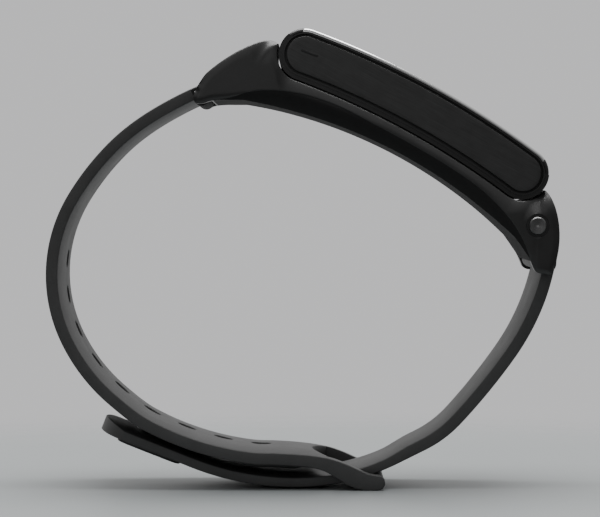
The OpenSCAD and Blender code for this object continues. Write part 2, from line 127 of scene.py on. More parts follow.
def second_finish(piece, finish, chosen):
    """Gives the faces whose middles (x, y, z in millimetres) are chosen another finish."""
    piece.data.materials.append(finish)
    middles = np.empty(len(piece.data.polygons) * 3)
    piece.data.polygons.foreach_get("center", middles)
    x, y, z = middles.reshape(-1, 3).T / MM
    piece.data.polygons.foreach_set("material_index", chosen(x, y, z).astype(np.int32))


def head(x, y, z):
    """Turns head coordinates down by the head tilt and moves them to the head's place."""
    x, y, z = np.broadcast_arrays(x, y, z)
    return np.stack([HEAD_X + x * cos(HEAD_TILT) + z * sin(HEAD_TILT), y,
                     HEAD_Z - x * sin(HEAD_TILT) + z * cos(HEAD_TILT)], -1)


def smooth_line(marks, count):
    """Curve through marks: cubic Hermite pieces over the chord length, the slope at each
    mark taken from its neighbours."""
    marks = np.array(marks, float)
    t = np.concatenate([[0], np.cumsum(np.hypot(*np.diff(marks, axis=0).T))])
    slope = np.gradient(marks, t, axis=0)
    q = np.linspace(0, t[-1], count)
    i = np.clip(np.searchsorted(t, q, side="right") - 1, 0, len(t) - 2)
    h = (t[i + 1] - t[i])[:, None]
    u = (q - t[i])[:, None] / h
    return ((2 * u**3 - 3 * u**2 + 1) * marks[i] + (u**3 - 2 * u**2 + u) * h * slope[i]
            + (3 * u**2 - 2 * u**3) * marks[i + 1] + (u**3 - u**2) * h * slope[i + 1])


def ease(t):
    """Smooth step: 3 t^2 - 2 t^3 with t held between 0 and 1."""
    t = np.clip(t, 0, 1)
    return t * t * (3 - 2 * t)


# ---- straps ----

def trace(start, bends, run):
    """Point and heading a given run along a chain of bends and straights: on a bend the
    heading grows by run over radius, and the point moves by radius times the change of
    its sine and cosine."""
    run = np.asarray(run, float)
    x, z, h = start[0], start[1], radians(start[2])
    px, pz, ph = np.zeros_like(run), np.zeros_like(run), np.zeros_like(run)
    done = 0.0
    for number, (r, a) in enumerate(bends):
        length = a if r == 0 else r * radians(a)
        here = (run >= done) if number else np.ones(run.shape, bool)
        t = run - done
        if r == 0:
            nx, nz, nh = x + t * cos(h), z + t * sin(h), h + 0 * t
            x, z = x + length * cos(h), z + length * sin(h)
        else:
            nh = h + t / r
            nx, nz = x + r * (np.sin(nh) - sin(h)), z + r * (cos(h) - np.cos(nh))
            e = h + length / r
            x, z, h = x + r * (sin(e) - sin(h)), z + r * (cos(h) - cos(e)), e
        px, pz, ph = np.where(here, nx, px), np.where(here, nz, pz), np.where(here, nh, ph)
        done += length
    return px, pz, ph


def rounded_drop(distance, thickness):
    """How far the face falls toward the middle within one edge radius of the rim:
    a quarter circle of the edge radius, smaller where the strap is thin."""
    r = np.minimum(EDGE_R, 0.42 * thickness)
    near = np.clip(1 - distance / EDGE_R, 0, 1)
    return r * (1 - np.sqrt(1 - near**2))


def strap_faces(outer, inner, across, distance, crown, belly=0):
    """Outer and skin faces of a strap: the edge lines, bulged by one minus |y / half|^3.5
    and rounded off at the rim."""
    step = inner - outer
    t = np.hypot(step[..., 0], step[..., 1])
    n = step / np.maximum(t, 1e-9)[..., None]
    drop = rounded_drop(distance, t)
    y, share = across
    bulge = 1 - np.abs(share) ** 3.5
    low = outer - n * ((CROWN_OUT * crown + belly) * bulge - drop)[..., None]
    high = inner + n * (CROWN_IN * crown * bulge - drop)[..., None]
    return (np.stack([low[..., 0], y, low[..., 1]], -1),
            np.stack([high[..., 0], y, high[..., 1]], -1))


def wall(low, high, pick):
    """Sheet between the matching rims of the two faces."""
    return np.stack([low[pick], high[pick]])


# hole strap: the two edge lines, with the dip down to the loop's end bar
ROOT, DIP = -1.0, 81.0
EDGE_SAMPLES = 900
run_a = np.linspace(ROOT, DIP, EDGE_SAMPLES)
ax, az, ah = trace(HOLE_START, HOLE_BENDS, run_a)
# the rubber lies a little lower over the tail and where it leaves the cradle
over_tail = 0.3 * ease((ax + 27) / 5) * (1 - ease((ax + 7) / 5)) * (az < 25)
sag = over_tail + 0.35 * (1 - ease((run_a - 3) / 12))
low_a = np.stack([ax, az - sag], -1)
high_a = low_a + STRAP_T * np.stack([-np.sin(ah), np.cos(ah)], -1)
low_b = smooth_line([low_a[-1], (-1.2, 3.50), (1.6, 3.18), (3.3, 2.68), (4.9, 1.78), (6.8, 0.62),
                     (8.7, 0.09), (BAR[0], BAR[1] - 1.05)], 200)
high_b = smooth_line([high_a[-1], (-1.0, 5.11), (2.0, 4.83), (4.1, 4.44), (6.2, 3.74), (8.0, 2.93),
                      (9.6, 2.28), (BAR[0] + 0.2, BAR[1] + 1.03)], 200)
turn = np.linspace(0, pi / 2, 40)
low_c = np.stack([BAR[0] + 1.05 * np.sin(turn), BAR[1] - 1.05 * np.cos(turn)], -1)
turn = np.linspace(0.19, pi / 2, 40)
high_c = np.stack([BAR[0] + 1.05 * np.sin(turn), BAR[1] + 1.05 * np.cos(turn)], -1)
LOOP = DIP + 16.2
END = LOOP + 1.65
run_all = np.concatenate([run_a, np.linspace(DIP, LOOP, 200)[1:], np.linspace(LOOP, END, 40)[1:]])
low_all = np.concatenate([low_a, low_b[1:], low_c[1:]])
high_all = np.concatenate([high_a, high_b[1:], high_c[1:]])


def on_line(line, run):
    """Point on a sampled edge line at a run."""
    return np.stack([np.interp(run, run_all, line[:, 0]), np.interp(run, run_all, line[:, 1])], -1)


def slot_edge(y):
    """Run at which the loop's slot begins: a circle of the slot radius about its middle."""
    x = SLOT_MID - np.sqrt(SLOT_R**2 - np.minimum(np.abs(y), SLOT_Y) ** 2)
    dip = np.s_[EDGE_SAMPLES:EDGE_SAMPLES + 100]
    return np.interp(x, low_all[dip, 0], run_all[dip])


def rim_distance(run, y):
    """Distance in plan from a point of the hole strap to the nearest rim: side, hole or slot."""
    side = STRAP_W / 2 - np.abs(y)
    number = np.clip(np.round((LAST_HOLE - run) / HOLE_PITCH), 0, HOLE_COUNT - 1)
    along = np.abs(run - LAST_HOLE + number * HOLE_PITCH) - (HOLE_L - HOLE_W) / 2
    hole = np.hypot(np.maximum(along, 0), y) - HOLE_W / 2
    corner = slot_edge(SLOT_Y)
    slot = np.where(np.abs(y) <= SLOT_Y, slot_edge(y) - run,
                    np.hypot(np.maximum(corner - run, 0), np.abs(y) - SLOT_Y))
    slot = np.where((np.abs(y) <= SLOT_Y + 1e-6) & (run > corner - 1e-6), 0, slot)
    return np.maximum(np.minimum(np.minimum(side, hole), slot), 0)


def hole_strap_faces(run, y):
    """Both faces of the hole strap over a patch of run and y. The crown fades toward the loop,
    and the outer face bellies down toward the tail just before the dip."""
    crown = 1 - 0.85 * ease((run - DIP - 1) / 12)
    share = np.clip(y / (STRAP_W / 2), -1, 1)
    belly = BELLY * ease((run - 75) / 4) * (1 - ease((run - 84) / 3))
    return strap_faces(on_line(low_all, run), on_line(high_all, run), (y, share),
                       rim_distance(run, y), crown, belly)


soft = EDGE_R * (1 - np.cos(np.linspace(0, pi / 2, 5)))          # lines close to a rim
side_lines = np.concatenate([[2.2, 3.3, 4.4, 5.6, 6.4], SLOT_Y + soft, [7.4, 7.9],
                             (STRAP_W / 2 - soft)[::-1]])
CELL_N, CELL_M, PLAIN_ROWS = 14, 10, 52
mid_lines = np.linspace(-2.2, 2.2, CELL_M + 1)
first_cell = LAST_HOLE - (HOLE_COUNT - 0.5) * HOLE_PITCH
last_cell = LAST_HOLE + 0.5 * HOLE_PITCH
body_runs = np.concatenate([np.linspace(ROOT, first_cell, PLAIN_ROWS)[:-1],
                            np.linspace(first_cell, last_cell, HOLE_COUNT * CELL_N + 1)])


def hole_cell(centre):
    """Patch round one hole: rays from its middle, from the hole's rim out to a rectangle one
    pitch long. A ray meets the hole's straight side or its round end."""
    top = np.linspace(-HOLE_PITCH / 2, HOLE_PITCH / 2, CELL_N + 1)
    end = mid_lines
    bx = np.concatenate([top[:-1], np.full(CELL_M, top[-1]), top[:0:-1],
                         np.full(CELL_M + 1, top[0])])
    by = np.concatenate([np.full(CELL_N, end[0]), end[:-1], np.full(CELL_N, end[-1]), end[::-1]])
    far = np.hypot(bx, by)
    dx, dy = bx / far, by / far
    half, r = (HOLE_L - HOLE_W) / 2, HOLE_W / 2
    flat = r / np.maximum(np.abs(dy), 1e-9)
    arc = half * np.abs(dx) + np.sqrt(r**2 - half**2 * dy**2)
    rim = np.where(flat * np.abs(dx) <= half, flat, arc)
    reach = np.concatenate([rim + soft[:, None], [(rim + EDGE_R) * 0.5 + far * 0.5], [far]])
    return centre + reach * dx, reach * dy


def hole_strap_sheets():
    """Both faces of the hole strap as patches over run and y: side bands, a plain middle, a cell
    round each hole, the web before the slot and the two rails, with walls at every rim."""
    sheets = []

    def both(run, y):
        low, high = hole_strap_faces(run, y)
        sheets.extend([low, high])
        return low, high

    for sign in (-1, 1):
        run, y = np.meshgrid(body_runs, sign * side_lines, indexing="ij")
        low, high = both(run, y)
        sheets.append(wall(low, high, np.s_[:, -1]))
        sheets.append(wall(low, high, np.s_[0, :]))
    run, y = np.meshgrid(body_runs[:PLAIN_ROWS], mid_lines, indexing="ij")
    low, high = both(run, y)
    sheets.append(wall(low, high, np.s_[0, :]))
    for number in range(HOLE_COUNT):
        run, y = hole_cell(LAST_HOLE - number * HOLE_PITCH)
        low, high = both(run, y)
        sheets.append(wall(low, high, np.s_[0, :]))
    inner_side = side_lines[side_lines <= SLOT_Y + 1e-9]
    lines = np.concatenate([-inner_side[::-1], mid_lines[1:-1], inner_side])
    corner = slot_edge(SLOT_Y)
    v = np.concatenate([np.linspace(0, 0.94, 12), [0.975, 0.988, 0.995, 1]])[:, None]
    edge = slot_edge(lines)[None, :]
    low, high = both(last_cell + (edge - last_cell) * v, lines[None, :] + 0 * v)
    sheets.append(wall(low, high, np.s_[-1, :]))
    rail = side_lines[side_lines >= SLOT_Y - 1e-9]
    runs = np.concatenate([last_cell + (corner - last_cell) * v[:, 0],
                           np.linspace(corner, LOOP, 44)[1:], np.linspace(LOOP, END, 14)[1:]])
    for sign in (-1, 1):
        run, y = np.meshgrid(runs, sign * rail, indexing="ij")
        low, high = both(run, y)
        sheets.append(wall(low, high, np.s_[:, -1]))
        sheets.append(wall(low, high, np.s_[len(v) - 1:, 0]))
    return sheets


def round_bar(x, z, r, half, edge, count=64):
    """Closed round bar across the band: a circle carried over a profile of radius and y."""
    a = np.linspace(0, 2 * pi, count + 1)
    turn = np.linspace(0, pi / 2, 6)
    rad = np.concatenate([[0], r - edge + edge * np.sin(turn), r - edge + edge * np.cos(turn), [0]])
    y = np.concatenate([[-half], -half + edge - edge * np.cos(turn),
                        half - edge + edge * np.sin(turn), [half]])
    rad = rad[:, None]
    return np.stack([x + rad * np.cos(a), y[:, None] + 0 * a, z + rad * np.sin(a)], -1)


# peg strap and tail: one piece, run measured from the low point, the tail negative
TAIL_FROM = -20
TAIL_END = 40.0 * radians(21.5) + 14.1
TIP_R, TIP_Y = 8.0, 6.6
PEG_END = sum(a if r == 0 else r * radians(a) for r, a in PEG_BENDS)


def peg_line(run):
    """Point and skin-side normal of the outer edge line; left of the low point the chain is
    the tail's, mirrored."""
    rx, rz, rh = trace(LOW_POINT, PEG_BENDS, np.maximum(run, 0))
    tx, tz, th = trace((0, 0, 0), TAIL_BENDS, np.maximum(-run, 0))
    left = run < 0
    x, z = np.where(left, LOW_POINT[0] - tx, rx), np.where(left, LOW_POINT[1] + tz, rz)
    h = np.where(left, -th, rh)
    return np.stack([x, z], -1), np.stack([-np.sin(h), np.cos(h)], -1)


def peg_half_width(run):
    """Half width: narrow through the loop, then widening evenly with height to the full strap."""
    z = peg_line(run)[0][..., 1]
    share = np.clip((z - 5) / 22, 0, 1) * (run > 0)
    return TAIL_W / 2 + (STRAP_W - TAIL_W) / 2 * share


def tip_run(y):
    """Run of the tail's round tip at y."""
    return -(TAIL_END - TIP_R + np.sqrt(TIP_R**2 - y**2))


def peg_strap_sheets():
    """Both faces of the peg strap and tail over run and y, rows evenly set along the strap and
    drawn together toward the tail's round tip, with walls at every rim."""
    inner = np.linspace(-1, 1, 19)
    runs = np.concatenate([np.linspace(TAIL_FROM, 0, 40), np.linspace(0, PEG_END, 100)[1:]])
    half = peg_half_width(runs)[:, None]
    body = np.concatenate([-(half - soft), inner[None, 1:-1] * (half - EDGE_R),
                           (half - soft)[:, ::-1]], 1)
    tip_y = body[:1]
    v = np.concatenate([np.linspace(1, 0.1, 16), [0.05, 0.02, 0.008, 0.003, 0]])[:, None]
    tip = tip_run(tip_y) + v * (TAIL_FROM - tip_run(tip_y))
    run = np.concatenate([tip[:0:-1], runs[:, None] + 0 * body])
    y = np.concatenate([tip_y + 0 * tip[:-1], body])
    width = np.concatenate([half[:1] + 0 * tip[:-1, :1], half])
    side = width - np.abs(y)
    end = (run - tip_run(np.clip(y, -TIP_Y, TIP_Y))) * 0.8
    line, normal = peg_line(run)
    thick = TAIL_T + (STRAP_T - TAIL_T) * ease((run - 13) / 5)
    low, high = strap_faces(line, line + normal * thick[..., None], (y, y / width),
                            np.maximum(np.minimum(side, end), 0), 1)
    return [low, high, wall(low, high, np.s_[0, :]), wall(low, high, np.s_[-1, :]),
            wall(low, high, np.s_[:, 0]), wall(low, high, np.s_[:, -1])]


# ---- cradle ----

CHEEK_Y = 8.65
TOP_RIM_R, DEEPEST_INSET = 0.14, 1.95
# outlines of the cradle's underside at both ends, and of the seam over the soft pad
LEFT_END = ((-28.25, -13.3), (-28.0, -13.95), (-27.3, -14.4), (-26.6, -14.1), (-25.7, -13.2),
            (-24.4, -12.3), (-23.1, -11.6), (-21.8, -10.9))
RIGHT_END = ((20.5, -9.61), (22.5, -10.6), (23.6, -11.2), (24.5, -11.9), (25.2, -12.4),
             (25.7, -12.45), (26.6, -12.1), (27.3, -11.84), (27.5, -11.3))
SEAM = ((-25.4, -12.97), (-23.3, -11.3), (-21.8, -9.74), (-20.7, -8.87), (-18.85, -7.8),
        (-15.66, -6.5), (-11.0, -5.5), (-3.3, -5.17), (3.0, -5.2), (9.0, -5.5), (13.0, -6.0),
        (17.0, -7.1), (20.0, -8.4), (22.5, -10.1), (24.0, -11.48))
# floors cut for the capsule's foot, for its two catches and, in the pad, below them
FOOT_FLOOR, CATCH_FLOOR, UNDER_CATCH = -5.05, -7.6, -7.95
# release buttons: axis in head coordinates, radius and depth of their wells, rim lip
KEY_X, KEY_Z, WELL_R, WELL_DEPTH, WELL_LIP = 22.5, -6.7, 1.56, 2.7, 0.06


def lower(a, b, soft_by):
    """The lower of two heights, with the meeting rounded."""
    return (a + b - np.sqrt((a - b) ** 2 + soft_by**2)) / 2


def seat_height(x):
    """Underside of the room for the capsule: the bent bar's lower line with its round ends,
    running up steeply outside them."""
    r = CAPSULE_T / 2 + 0.2
    a = np.abs(x)
    floor = np.sqrt((BEND_R - r) ** 2 - np.minimum(a, END_X) ** 2) - BEND_R
    end = END_Z - np.sqrt(np.maximum(r**2 - np.maximum(a - END_X, 0) ** 2, 0))
    out = END_Z + np.maximum(a - END_X - r, 0) * 20
    return np.where(a < END_X, floor, np.where(a < END_X + r, end, out))


def cradle_top(x):
    """Top line of the cradle: two shoulder arcs, the right lug's arc and the left lug's rounded
    corner, cut off level and by the seat."""
    left = -18 + np.sqrt(np.maximum(23.4**2 - (x + 6) ** 2, 0))
    right = -12.9 + np.sqrt(np.maximum(13.6**2 - (x - 13.9) ** 2, 0))
    arcs = np.maximum(left, right)
    lug = PIN_RIGHT[1] + np.sqrt(np.maximum(2.1**2 - (x - PIN_RIGHT[0]) ** 2, 0))
    arcs = np.where(x > PIN_RIGHT[0], np.maximum(arcs, lug), arcs)
    corner = -12.9 + 6.4 * np.sqrt(np.clip(1 - (np.minimum(x + 26.4, 0) / 1.85) ** 2, 0, 1))
    arcs = np.where(x < -26.9, lower(arcs, corner, 0.1), arcs)
    return lower(lower(arcs, -1.55, 0.7), seat_height(x), 0.45)


def cradle_bottom(x):
    """Underside: an arc of 71.2 mm, running into the drawn ends of both lugs."""
    z = -78.2 + np.sqrt(71.2**2 - (x - 1.4) ** 2)
    for marks, inside in ((LEFT_END, x < LEFT_END[-1][0]), (RIGHT_END, x > RIGHT_END[0][0])):
        z = np.where(inside, np.interp(x, *smooth_line(marks, 160).T), z)
    return z


def room_ceiling(x):
    """Ceiling of the room for a strap end between the cheeks."""
    z = np.full(np.shape(x), -99.0)
    for (px, pz), up in ((PIN_LEFT, 2.1), (PIN_RIGHT, 1.75)):
        side = (x - px) * np.sign(px)
        disc = pz + np.sqrt(np.maximum(1.4**2 - side**2, 0))
        z = np.where(side > -0.8, pz + up, np.where(side > -1.4, np.minimum(disc, pz + up), z))
    return z


PAD_FROM, PAD_TO = SEAM[0][0], SEAM[-1][0]


def pad_height(x):
    """Height of the soft pad above the underside: up to the seam line, closing at its ends."""
    seam_x, seam_z = smooth_line(SEAM, 300).T
    rise = np.maximum(np.interp(x, seam_x, seam_z) - cradle_bottom(x), 0.02)
    return np.where((x > PAD_FROM) & (x < PAD_TO), rise, 0)


def cradle_columns():
    """Positions along the cradle, close together where the outline is steep."""
    a = np.linspace(0, pi / 2, 24)
    end = END_X + 3.85 * np.sin(a)
    quarter = 1 - np.cos(np.linspace(0, pi / 2, 14))
    return np.unique(np.round(np.concatenate([
        -28.25 + 1.95 * quarter, np.linspace(-26.3, -21.5, 26), np.linspace(-21.5, -21.05, 12), -end,
        np.linspace(-END_X, END_X, 76), end, np.linspace(21.05, 21.5, 12), np.linspace(21.5, 25, 22),
        27.5 - 2.4 * quarter, [PAD_FROM, PAD_TO],
        [-15.205, -15.195, 13.195, 13.205, 13.395, 13.405, 15.195, 15.205, 17.695, 17.705,
         23.695, 23.705]]), 4))


def rim_inset(x, z, columns, top, bottom):
    """How far the cradle's side stands in from its full width: a parabola over a band below the
    top line and another above the underside, by distance to those lines, wider and deeper over
    the seat and at the shoulder tips, and a quarter circle right at the top rim."""
    fine = np.linspace(columns[0], columns[-1], 1400)
    t_line = np.stack([fine, np.interp(fine, columns, top)], -1)
    b_line = np.stack([fine, np.interp(fine, columns, bottom)], -1)
    at = np.stack([x, z], -1)

    def away(line):
        """Distance to a line, by its nearest sample."""
        d = np.full(x.shape, 99.0)
        for part in np.array_split(line, 40):
            gap = np.hypot(at[..., None, 0] - part[:, 0], at[..., None, 1] - part[:, 1])
            d = np.minimum(d, gap.min(-1))
        return d

    over_seat = 1 - ease((np.abs(x) - 17.5) / 2.5)
    at_tip = np.exp(-((x - 21.0) / 1.5) ** 2) + 0.8 * np.exp(-((x + 22.4) / 1.2) ** 2)
    top_in = 0.28 + 0.34 * over_seat + 1.2 * at_tip
    top_band = 1.0 + 1.5 * over_seat + 2.2 * at_tip
    under_in = 0.3 + 1.5 * ease((x + 25) / 9) * (1 - ease((x - 14) / 8))
    under_band = 0.8 + 1.7 * ease((x + 25) / 9) * (1 - ease((x - 14) / 8))
    to_top = away(t_line)
    inset = top_in * np.clip(1 - to_top / top_band, 0, 1) ** 2
    inset += TOP_RIM_R * (1 - np.sqrt(1 - np.clip(1 - to_top / TOP_RIM_R, 0, 1) ** 2))
    inset += under_in * np.clip(1 - away(b_line) / under_band, 0, 1) ** 2
    return np.minimum(inset, DEEPEST_INSET)


def cradle_sheets(part):
    """One of the cradle's two pieces, "tray" or "pad": faces over x and y joined to side
    sheets, which follow the rim inset and hold the wells of the release buttons."""
    x = cradle_columns()
    full_top, full_low = cradle_top(x), cradle_bottom(x)
    full_low[0], full_low[-1] = full_top[0], full_top[-1]
    columns, top, bottom = x, full_top, full_low
    seam = full_low + pad_height(x)
    inside = (x >= PAD_FROM) & (x <= PAD_TO)
    if part == "pad":
        x, full_top, full_low = x[inside], seam[inside], full_low[inside]
        side_top, side_low = full_top, full_low
    else:
        side_top, side_low = full_top, np.where(inside, seam, full_low)
    full = HEAD_W / 2 - (0.07 if part == "pad" else 0)
    rows = np.concatenate([[0, 0.005, 0.011, 0.018, 0.027, 0.045, 0.07, 0.1],
                           np.linspace(0.15, 0.85, 15), [0.9, 0.94, 0.97, 0.988, 1]])
    zs = side_top + (side_low - side_top) * rows[:, None]
    xs = x + 0 * zs
    ys = full - rim_inset(xs, zs, columns, top, bottom)
    if part == "tray":
        seam_gap = np.clip(1 - np.abs(zs - side_low) / 0.12, 0, 1) ** 2 * inside
        ys = ys - 0.06 * seam_gap
    inner = np.array([0, 2, 4, 4.995, 5.005, 5.195, 5.205, 6.7, 7.495, 7.505, 7.695, 7.705,
                      8.195, 8.205, CHEEK_Y - 0.005, CHEEK_Y + 0.005])
    share = np.array([0.25, 0.5, 0.75, 1.0])
    sheets, keeps = [], {}

    def face(edge, level):
        y = np.concatenate([inner[:, None] + 0 * x, inner[-1] + (edge - inner[-1]) * share[:, None]])
        y = np.concatenate([-y[:0:-1], y])
        return y, level(x + 0 * y, np.abs(y))

    def under_catch(px, py, z):
        deep = (px > 13.2) & (px < 23.7) & (py > 5.0) & (py < 7.7)
        return np.where(deep, np.minimum(z, UNDER_CATCH), z)

    def top_level(px, py):
        z = np.interp(px, x, full_top)
        if part == "tray":
            pocket = (np.abs(px) < 15.2) & (py < 8.2)
            catch = (px > 13.4) & (px < 17.7) & (py > 5.2) & (py < 7.5)
            z = np.where(pocket, np.minimum(z, FOOT_FLOOR), z)
            z = np.where(catch, CATCH_FLOOR, z)
        return under_catch(px, py, z) if part == "pad" else z

    def low_level(px, py):
        z = np.interp(px, x, side_low)
        if part == "tray":
            z = under_catch(px, py, z)
            roofed = np.minimum(np.maximum(z, room_ceiling(px)), np.interp(px, x, full_top))
            z = np.where(py < CHEEK_Y, roofed, z)
        return z

    ty, tz = face(ys[0], top_level)
    ly, lz = face(ys[-1], low_level)
    gap = tz - np.where(np.abs(ly) < CHEEK_Y, lz, -99)
    solid = (gap > 1e-3)
    some = solid[:-1, :-1] | solid[:-1, 1:] | solid[1:, :-1] | solid[1:, 1:]
    sheets += [head(x + 0 * ty, ty, tz), head(x + 0 * ly, ly, lz)]
    keeps = {0: some, 1: some}
    if part == "tray":
        col = np.flatnonzero((x > 20.2) & (x < 24.8))
        row = np.flatnonzero(np.abs(zs[:, col].mean(1) - KEY_Z) < 2.6)
        c0, c1, r0, r1 = col[0], col[-1], row[0], row[-1]
        keep = np.ones((len(rows) - 1, len(x) - 1), bool)
        keep[r0:r1, c0:c1] = False
    for sign in (-1, 1):
        sheets.append(head(xs, sign * ys, zs))
        if part == "tray":
            keeps[len(sheets) - 1] = keep
            ring = [np.s_[r0, c0:c1], np.s_[r0:r1, c1], np.s_[r1, c1:c0:-1], np.s_[r1:r0 - 1:-1, c0]]
            rx, ry, rz = (np.concatenate([v[s] for s in ring]) for v in (xs, ys, zs))
            far = np.hypot(rx - KEY_X, rz - KEY_Z)
            dx, dz = (rx - KEY_X) / far, (rz - KEY_Z) / far
            reach = np.array([1, 0.7, 0.4, 0.15, 0.05, 0])[:, None]
            rad = WELL_R + (far - WELL_R) * reach
            depth = ry * reach + full * (1 - reach)
            depth[-1] = full - WELL_LIP
            well_r = np.array([WELL_R, WELL_R, 0.8, 0])[:, None]
            well_y = full - np.array([WELL_LIP, WELL_DEPTH, WELL_DEPTH, WELL_DEPTH])[:, None]
            rad = np.concatenate([rad, well_r + 0 * far])
            depth = np.concatenate([depth, well_y + 0 * far])
            sheets.append(head(KEY_X + rad * dx, sign * depth, KEY_Z + rad * dz))
    return sheets, keeps


# ---- capsule ----

def bar_outline(half, count=64):
    """Side outline of the bent bar at a half thickness: long arc, round end, long arc back,
    round end; half may be an array of rows."""
    half = np.atleast_1d(np.asarray(half, float))[:, None]
    a = np.linspace(-END_A, END_A, count)
    t = np.linspace(0, pi, count // 2)[1:]
    top = np.stack([(BEND_R + half) * np.sin(a), (BEND_R + half) * np.cos(a) - BEND_R], -1)
    e = pi / 2 - END_A - t
    right = np.stack([END_X + half * np.cos(e), END_Z + half * np.sin(e)], -1)
    back = a[::-1][1:]
    low = np.stack([(BEND_R - half) * np.sin(back), (BEND_R - half) * np.cos(back) - BEND_R], -1)
    e = -pi / 2 + END_A - t
    left = np.stack([-END_X + half * np.cos(e), END_Z + half * np.sin(e)], -1)
    return np.concatenate([top, right, low, left], 1)


def bar_piece(profile):
    """Closed solid: the bar outline carried over a profile of (half thickness, y)."""
    profile = np.array(profile)
    line = bar_outline(profile[:, 0])
    return head(line[..., 0], profile[:, 1][:, None] + 0 * line[..., 0], line[..., 1])


def rounded_profile(half, y_in, y_out, r, steps=6):
    """Half thickness and y of a plate whose outer rim is a quarter circle of radius r."""
    t = np.linspace(0, pi / 2, steps)
    s = np.sign(y_out - y_in)
    rim = np.stack([half - r + r * np.cos(t), y_out - s * (r - r * np.sin(t))], -1)
    inner = half * np.array([1, 0.6, 0.3, 0])
    face = (half - r) * np.array([0.8, 0.6, 0.3, 0])
    return np.concatenate([np.stack([inner[::-1], y_in + 0 * inner], -1), rim,
                           np.stack([face, y_out + 0 * face], -1)])


def bezel_sheet():
    """Bezel: a closed loop in half thickness and y, carried along the upper part of the outline
    and round both ends down to where the base begins."""
    t = np.linspace(0, pi / 2, 8)
    r, half_y = 0.42, 9.7
    lo, hi = FRAME_T / 2, CAPSULE_T / 2
    over = [(hi - r + r * np.sin(q), half_y - r + r * np.cos(q)) for q in t]
    loop = [(lo, 0), (lo, half_y - 0.1), (lo + 0.1, half_y)] + over + [(hi, 9.0), (hi, 4.5), (hi, 0)]
    loop = np.array(loop + [(h, -y) for h, y in loop[::-1]])
    h = loop[:, 0][None, :]
    u = np.concatenate([-1 - np.linspace(1, 0, 25)[:-1], np.linspace(-1, 1, 90),
                        1 + np.linspace(0, 1, 25)[1:]])
    on_arc = (np.clip(u, -1, 1) * END_A)[:, None]
    turn = np.clip(np.abs(u) - 1, 0, 1)
    e = (pi / 2 - END_A - turn * (pi / 2 - END_A - 0.42))[:, None]
    bent = (turn > 0)[:, None]
    x = np.where(bent, np.sign(u)[:, None] * (END_X + h * np.cos(e)), (BEND_R + h) * np.sin(on_arc))
    z = np.where(bent, END_Z + h * np.sin(e), (BEND_R + h) * np.cos(on_arc) - BEND_R)
    body = head(x, loop[:, 1][None, :] + 0 * x, z)
    caps = []
    for row in (0, -1):
        ring = body[row]
        n = len(ring) // 2
        caps.append(np.stack([ring[:n], ring[::-1][:n]]))
    return [body] + caps


LENS_PROUD = 0.045


def lens_sheet():
    """Lens: a bent glass over x and y that stands a hair proud, its rims rounded off by a quarter
    circle, closed underneath."""
    half_x, half_y, r = 17.1, 8.62, 0.12
    rim = r * (1 - np.cos(np.linspace(0, pi / 2, 5)))
    x = np.concatenate([-half_x + rim, np.linspace(-half_x + r, half_x - r, 60)[1:-1],
                        (half_x - rim)[::-1]])
    y = np.concatenate([-half_y + rim, np.linspace(-half_y + r, half_y - r, 24)[1:-1],
                        (half_y - rim)[::-1]])
    x, y = np.meshgrid(x, y, indexing="ij")
    near = np.minimum(half_x - np.abs(x), half_y - np.abs(y))
    drop = r * (1 - np.sqrt(1 - np.clip(1 - near / r, 0, 1) ** 2))
    a = np.arcsin(x / BEND_R)
    sheets = []
    for h in (CAPSULE_T / 2 + LENS_PROUD - drop, FRAME_T / 2 + 0 * drop):
        sheets.append(head((BEND_R + h) * np.sin(a), y, (BEND_R + h) * np.cos(a) - BEND_R))
    up, low = sheets
    sheets += [np.stack([up[0], low[0]]), np.stack([up[-1], low[-1]]),
               np.stack([up[:, 0], low[:, 0]]), np.stack([up[:, -1], low[:, -1]])]
    return sheets


def clasp_sheet():
    """Clasp cover: a rounded rectangle (superellipse of power 6) carried over a profile of
    share, inset and height, with its outer rim rounded and its middle slightly crowned."""
    low_corner, high_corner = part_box("clasp_plate")
    at_x, at_z = [(low_corner[i] + high_corner[i]) / 2 / MM for i in (0, 2)]
    t = np.linspace(0, 2 * pi, 97)
    ring_s = np.sign(np.cos(t)) * np.abs(np.cos(t)) ** (1 / 3)
    ring_y = np.sign(np.sin(t)) * np.abs(np.sin(t)) ** (1 / 3)
    q = np.linspace(0, pi / 2, 7)
    r = 0.2
    share = np.concatenate([[0, 1], np.ones(8), [0.9, 0.6, 0.3, 0]])
    inset = np.concatenate([[0.08, 0.08], [0], r - r * np.cos(q), [r, r, r, r]])
    rise = np.concatenate([[-0.3, -0.3], [-0.24], 0.3 - r - 0.06 + r * np.sin(q), [0.262, 0.29, 0.3, 0.3]])
    s = ring_s * ((4.8 - inset) * share)[:, None]
    y = ring_y * ((3.2 - inset) * share)[:, None]
    h = rise[:, None] + 0 * s
    a = radians(TAIL_BENDS[0][1])
    return np.stack([at_x - s * cos(a) - h * sin(a), y, at_z + s * sin(a) - h * cos(a)], -1)


def dash_shade_sheet():
    """Painted shade on the near plate: a dark bar standing in for the shade inside a small recessed dash, a
    long rounded bar whose outline is carried from the plate out to a hair above it."""
    t = np.linspace(0, 2 * pi, 65)
    along = 1.1 * np.sign(np.cos(t)) + 0.17 * np.cos(t)
    rise = 0.17 * np.sin(t)
    share = np.array([0, 1, 1, 0.94, 0])[:, None]
    y = np.array([-9.9, -9.9, -10.004, -10.012, -10.012])[:, None] + 0 * share * t
    a = radians(8)
    return head(-16.75 + share * (along * cos(a) - rise * sin(a)), y,
                -0.8 + share * (along * sin(a) + rise * cos(a)))


# ---- finishes ----

for plain in bpy.data.materials:
    plain.name = "packed_" + plain.name


